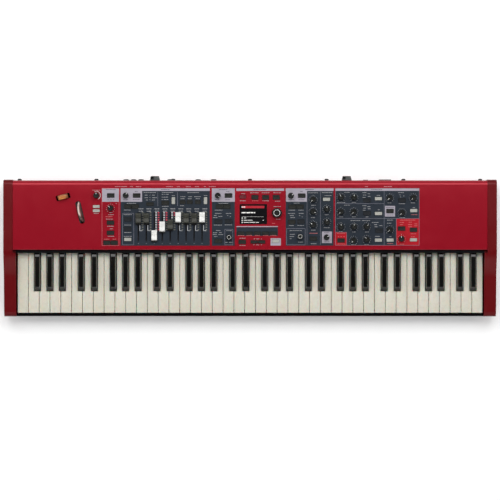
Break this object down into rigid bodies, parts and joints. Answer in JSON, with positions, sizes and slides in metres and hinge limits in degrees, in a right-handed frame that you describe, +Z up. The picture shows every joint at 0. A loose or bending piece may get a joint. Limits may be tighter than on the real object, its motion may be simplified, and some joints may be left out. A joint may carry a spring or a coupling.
{
  "type": "stage keyboard",
  "caption": "Compact stage keyboard with square-front keys, folded steel control panel, knobs, sliding faders, push buttons, pitch stick and modulation wheel",
  "frame": {"origin": "on the table, under the middle of the whole object's box", "axes": "+X to the player's right, +Y to the rear, +Z up"},
  "size_m": [1.068, 0.305, 0.097],
  "materials": {
    "top_panel": "satin red paint",
    "cheeks": "semi-gloss dark red",
    "pan": "textured black paint",
    "frame": "zinc-plated sheet",
    "boards": "green solder mask",
    "screen": "black glass-clear window",
    "carrier": "moulded black",
    "supply": "plain sheet can",
    "white_keys": "semi-gloss ivory",
    "black_keys": "semi-gloss black",
    "buttons": "soft matt",
    "knobs": "fine matt black",
    "fader_black": "matt black",
    "fader_white": "matt white",
    "stick": "clear-lacquered light wood",
    "wheel": "honed pale stone"
  },
  "bodies": {
    "case": {"top_panel": "top_panel", "bottom_pan": "pan", "left_cheek": "cheeks", "right_cheek": "cheeks", "keybed_frame": "frame", "key_contact_board": "boards", "control_board": "boards", "display_module": "screen", "bender_bracket": "carrier", "socket_board": "boards", "power_supply": "supply"},
    "white_keys_low": {"white_keys_low": "white_keys"},
    "white_keys_middle": {"white_keys_middle": "white_keys"},
    "white_keys_high": {"white_keys_high": "white_keys"},
    "black_keys_low": {"black_keys_low": "black_keys"},
    "black_keys_middle": {"black_keys_middle": "black_keys"},
    "black_keys_high": {"black_keys_high": "black_keys"},
    "organ_buttons": {"organ_buttons": "buttons"},
    "piano_program_buttons": {"piano_program_buttons": "buttons"},
    "synth_effects_buttons": {"synth_effects_buttons": "buttons"},
    "pitch_stick": {"pitch_stick": "stick"},
    "mod_wheel": {"mod_wheel": "wheel"},
    "power_rocker": {"power_rocker": "carrier"},
    "fader_1": {"fader_1": "fader_black"},
    "fader_2": {"fader_2": "fader_black"},
    "fader_3": {"fader_3": "fader_white"},
    "fader_4": {"fader_4": "fader_white"},
    "fader_5": {"fader_5": "fader_black"},
    "fader_6": {"fader_6": "fader_white"},
    "fader_7": {"fader_7": "fader_black"},
    "fader_8": {"fader_8": "fader_black"},
    "fader_9": {"fader_9": "fader_white"},
    "master_level_knob": {"master_level_knob": "knobs"},
    "transpose_knob": {"transpose_knob": "knobs"},
    "organ_level_knob": {"organ_level_knob": "knobs"},
    "piano_level_knob": {"piano_level_knob": "knobs"},
    "piano_type_dial": {"piano_type_dial": "knobs"},
    "program_dial": {"program_dial": "knobs"},
    "synth_level_knob": {"synth_level_knob": "knobs"},
    "synth_type_dial": {"synth_type_dial": "knobs"},
    "synth_attack_knob": {"synth_attack_knob": "knobs"},
    "synth_decay_knob": {"synth_decay_knob": "knobs"},
    "synth_release_knob": {"synth_release_knob": "knobs"},
    "synth_vibrato_knob": {"synth_vibrato_knob": "knobs"},
    "synth_timbre_knob": {"synth_timbre_knob": "knobs"},
    "synth_filter_knob": {"synth_filter_knob": "knobs"},
    "tremolo_rate_knob": {"tremolo_rate_knob": "knobs"},
    "tremolo_depth_knob": {"tremolo_depth_knob": "knobs"},
    "chorus_rate_knob": {"chorus_rate_knob": "knobs"},
    "chorus_depth_knob": {"chorus_depth_knob": "knobs"},
    "amp_drive_knob": {"amp_drive_knob": "knobs"},
    "bass_knob": {"bass_knob": "knobs"},
    "middle_knob": {"middle_knob": "knobs"},
    "treble_knob": {"treble_knob": "knobs"},
    "presence_knob": {"presence_knob": "knobs"},
    "delay_time_knob": {"delay_time_knob": "knobs"},
    "delay_level_knob": {"delay_level_knob": "knobs"},
    "delay_feedback_knob": {"delay_feedback_knob": "knobs"},
    "reverb_level_knob": {"reverb_level_knob": "knobs"},
    "speaker_speed_knob": {"speaker_speed_knob": "knobs"}
  },
  "joints": [
    {"name": "white_keys_low_press", "type": "hinge", "parent": "case", "child": "white_keys_low", "pos_m": [0, 0.0355, 0.0505], "axis": [1, 0, 0], "range_deg": [0, 3.19], "stiffness_Nm_per_rad": 20, "springref_deg": -5.73},
    {"name": "white_keys_middle_press", "type": "hinge", "parent": "case", "child": "white_keys_middle", "pos_m": [0, 0.0355, 0.0505], "axis": [1, 0, 0], "range_deg": [0, 3.19], "stiffness_Nm_per_rad": 20, "springref_deg": -5.73},
    {"name": "white_keys_high_press", "type": "hinge", "parent": "case", "child": "white_keys_high", "pos_m": [0, 0.0355, 0.0505], "axis": [1, 0, 0], "range_deg": [0, 3.19], "stiffness_Nm_per_rad": 20, "springref_deg": -5.73},
    {"name": "black_keys_low_press", "type": "hinge", "parent": "case", "child": "black_keys_low", "pos_m": [0, 0.0355, 0.0505], "axis": [1, 0, 0], "range_deg": [0, 3.19], "stiffness_Nm_per_rad": 10, "springref_deg": -5.73},
    {"name": "black_keys_middle_press", "type": "hinge", "parent": "case", "child": "black_keys_middle", "pos_m": [0, 0.0355, 0.0505], "axis": [1, 0, 0], "range_deg": [0, 3.19], "stiffness_Nm_per_rad": 10, "springref_deg": -5.73},
    {"name": "black_keys_high_press", "type": "hinge", "parent": "case", "child": "black_keys_high", "pos_m": [0, 0.0355, 0.0505], "axis": [1, 0, 0], "range_deg": [0, 3.19], "stiffness_Nm_per_rad": 10, "springref_deg": -5.73},
    {"name": "organ_buttons_press", "type": "slide", "parent": "case", "child": "organ_buttons", "axis": [0, 0, -1], "range_m": [0, 0.0008], "stiffness_N_per_m": 400, "springref_m": -0.01},
    {"name": "piano_program_buttons_press", "type": "slide", "parent": "case", "child": "piano_program_buttons", "axis": [0, 0, -1], "range_m": [0, 0.0008], "stiffness_N_per_m": 400, "springref_m": -0.01},
    {"name": "synth_effects_buttons_press", "type": "slide", "parent": "case", "child": "synth_effects_buttons", "axis": [0, 0, -1], "range_m": [0, 0.0008], "stiffness_N_per_m": 400, "springref_m": -0.01},
    {"name": "pitch_bend", "type": "hinge", "parent": "case", "child": "pitch_stick", "pos_m": [-0.4046, 0.1069, 0.06], "axis": [-0.2588, 0.9659, 0], "range_deg": [-6, 6], "stiffness_Nm_per_rad": 0.6},
    {"name": "modulation", "type": "hinge", "parent": "case", "child": "mod_wheel", "pos_m": [-0.36211, 0.07512, 0.06666], "axis": [-0.9145, -0.2162, -0.342], "range_deg": [0, 70]},
    {"name": "power_switch", "type": "hinge", "parent": "case", "child": "power_rocker", "pos_m": [0.2515, 0.13982, 0.034], "axis": [1, 0, 0], "range_deg": [0, 16]},
    {"name": "fader_1_slide", "type": "slide", "parent": "case", "child": "fader_1", "axis": [0, -1, 0], "range_m": [-0.002, 0.038]},
    {"name": "fader_2_slide", "type": "slide", "parent": "case", "child": "fader_2", "axis": [0, -1, 0], "range_m": [-0.002, 0.038]},
    {"name": "fader_3_slide", "type": "slide", "parent": "case", "child": "fader_3", "axis": [0, -1, 0], "range_m": [-0.0392, 0.0008]},
    {"name": "fader_4_slide", "type": "slide", "parent": "case", "child": "fader_4", "axis": [0, -1, 0], "range_m": [-0.0199, 0.0201]},
    {"name": "fader_5_slide", "type": "slide", "parent": "case", "child": "fader_5", "axis": [0, -1, 0], "range_m": [-0.0154, 0.0246]},
    {"name": "fader_6_slide", "type": "slide", "parent": "case", "child": "fader_6", "axis": [0, -1, 0], "range_m": [0, 0.04]},
    {"name": "fader_7_slide", "type": "slide", "parent": "case", "child": "fader_7", "axis": [0, -1, 0], "range_m": [-0.002, 0.038]},
    {"name": "fader_8_slide", "type": "slide", "parent": "case", "child": "fader_8", "axis": [0, -1, 0], "range_m": [-0.002, 0.038]},
    {"name": "fader_9_slide", "type": "slide", "parent": "case", "child": "fader_9", "axis": [0, -1, 0], "range_m": [0, 0.04]},
    {"name": "master_level_knob_turn", "type": "hinge", "parent": "case", "child": "master_level_knob", "pos_m": [-0.3328, 0.1103, 0.0833], "axis": [0, 0, 1], "range_deg": [-130, 140]},
    {"name": "transpose_knob_turn", "type": "hinge", "parent": "case", "child": "transpose_knob", "pos_m": [-0.3019, 0.0826, 0.0833], "axis": [0, 0, 1], "range_deg": [-180, 90]},
    {"name": "organ_level_knob_turn", "type": "hinge", "parent": "case", "child": "organ_level_knob", "pos_m": [-0.2692, 0.1099, 0.0833], "axis": [0, 0, 1], "range_deg": [-105, 165]},
    {"name": "piano_level_knob_turn", "type": "hinge", "parent": "case", "child": "piano_level_knob", "pos_m": [-0.0699, 0.1097, 0.0833], "axis": [0, 0, 1], "range_deg": [0, 270]},
    {"name": "piano_type_dial_turn", "type": "hinge", "parent": "case", "child": "piano_type_dial", "pos_m": [-0.0454, 0.0194, 0.0833], "axis": [0, 0, 1], "continuous": true},
    {"name": "program_dial_turn", "type": "hinge", "parent": "case", "child": "program_dial", "pos_m": [0.0578, 0.0722, 0.0833], "axis": [0, 0, 1], "continuous": true},
    {"name": "synth_level_knob_turn", "type": "hinge", "parent": "case", "child": "synth_level_knob", "pos_m": [0.0883, 0.1095, 0.0833], "axis": [0, 0, 1], "range_deg": [-75, 195]},
    {"name": "synth_type_dial_turn", "type": "hinge", "parent": "case", "child": "synth_type_dial", "pos_m": [0.1084, 0.0212, 0.0833], "axis": [0, 0, 1], "continuous": true},
    {"name": "synth_attack_knob_turn", "type": "hinge", "parent": "case", "child": "synth_attack_knob", "pos_m": [0.1364, 0.1012, 0.0833], "axis": [0, 0, 1], "range_deg": [-270, 0]},
    {"name": "synth_decay_knob_turn", "type": "hinge", "parent": "case", "child": "synth_decay_knob", "pos_m": [0.1364, 0.0748, 0.0833], "axis": [0, 0, 1], "range_deg": [-20, 250]},
    {"name": "synth_release_knob_turn", "type": "hinge", "parent": "case", "child": "synth_release_knob", "pos_m": [0.1364, 0.0465, 0.0833], "axis": [0, 0, 1], "range_deg": [-195, 75]},
    {"name": "synth_vibrato_knob_turn", "type": "hinge", "parent": "case", "child": "synth_vibrato_knob", "pos_m": [0.166, 0.0805, 0.0833], "axis": [0, 0, 1], "range_deg": [-135, 135]},
    {"name": "synth_timbre_knob_turn", "type": "hinge", "parent": "case", "child": "synth_timbre_knob", "pos_m": [0.166, 0.0525, 0.0833], "axis": [0, 0, 1], "range_deg": [-135, 135]},
    {"name": "synth_filter_knob_turn", "type": "hinge", "parent": "case", "child": "synth_filter_knob", "pos_m": [0.1653, 0.0194, 0.0833], "axis": [0, 0, 1], "range_deg": [-75, 195]},
    {"name": "tremolo_rate_knob_turn", "type": "hinge", "parent": "case", "child": "tremolo_rate_knob", "pos_m": [0.1967, 0.1058, 0.0833], "axis": [0, 0, 1], "range_deg": [-155, 115]},
    {"name": "tremolo_depth_knob_turn", "type": "hinge", "parent": "case", "child": "tremolo_depth_knob", "pos_m": [0.2248, 0.1058, 0.0833], "axis": [0, 0, 1], "range_deg": [-135, 135]},
    {"name": "chorus_rate_knob_turn", "type": "hinge", "parent": "case", "child": "chorus_rate_knob", "pos_m": [0.1964, 0.0746, 0.0833], "axis": [0, 0, 1], "range_deg": [-270, 0]},
    {"name": "chorus_depth_knob_turn", "type": "hinge", "parent": "case", "child": "chorus_depth_knob", "pos_m": [0.2244, 0.0746, 0.0833], "axis": [0, 0, 1], "range_deg": [-270, 0]},
    {"name": "amp_drive_knob_turn", "type": "hinge", "parent": "case", "child": "amp_drive_knob", "pos_m": [0.1966, 0.0422, 0.0833], "axis": [0, 0, 1], "range_deg": [-135, 135]},
    {"name": "bass_knob_turn", "type": "hinge", "parent": "case", "child": "bass_knob", "pos_m": [0.2248, 0.0422, 0.0833], "axis": [0, 0, 1], "range_deg": [-135, 135]},
    {"name": "middle_knob_turn", "type": "hinge", "parent": "case", "child": "middle_knob", "pos_m": [0.2524, 0.0428, 0.0833], "axis": [0, 0, 1], "range_deg": [-100, 170]},
    {"name": "treble_knob_turn", "type": "hinge", "parent": "case", "child": "treble_knob", "pos_m": [0.2236, 0.0129, 0.0833], "axis": [0, 0, 1], "range_deg": [-270, 0]},
    {"name": "presence_knob_turn", "type": "hinge", "parent": "case", "child": "presence_knob", "pos_m": [0.2524, 0.0149, 0.0833], "axis": [0, 0, 1], "range_deg": [-175, 95]},
    {"name": "delay_time_knob_turn", "type": "hinge", "parent": "case", "child": "delay_time_knob", "pos_m": [0.3021, 0.1051, 0.0833], "axis": [0, 0, 1], "range_deg": [-270, 0]},
    {"name": "delay_level_knob_turn", "type": "hinge", "parent": "case", "child": "delay_level_knob", "pos_m": [0.3532, 0.1051, 0.0833], "axis": [0, 0, 1], "range_deg": [-270, 0]},
    {"name": "delay_feedback_knob_turn", "type": "hinge", "parent": "case", "child": "delay_feedback_knob", "pos_m": [0.3287, 0.0727, 0.0833], "axis": [0, 0, 1], "range_deg": [-270, 0]},
    {"name": "reverb_level_knob_turn", "type": "hinge", "parent": "case", "child": "reverb_level_knob", "pos_m": [0.3023, 0.0359, 0.0833], "axis": [0, 0, 1], "range_deg": [-270, 0]},
    {"name": "speaker_speed_knob_turn", "type": "hinge", "parent": "case", "child": "speaker_speed_knob", "pos_m": [0.3275, 0.0162, 0.0833], "axis": [0, 0, 1], "range_deg": [-145, 125]}
  ]
}
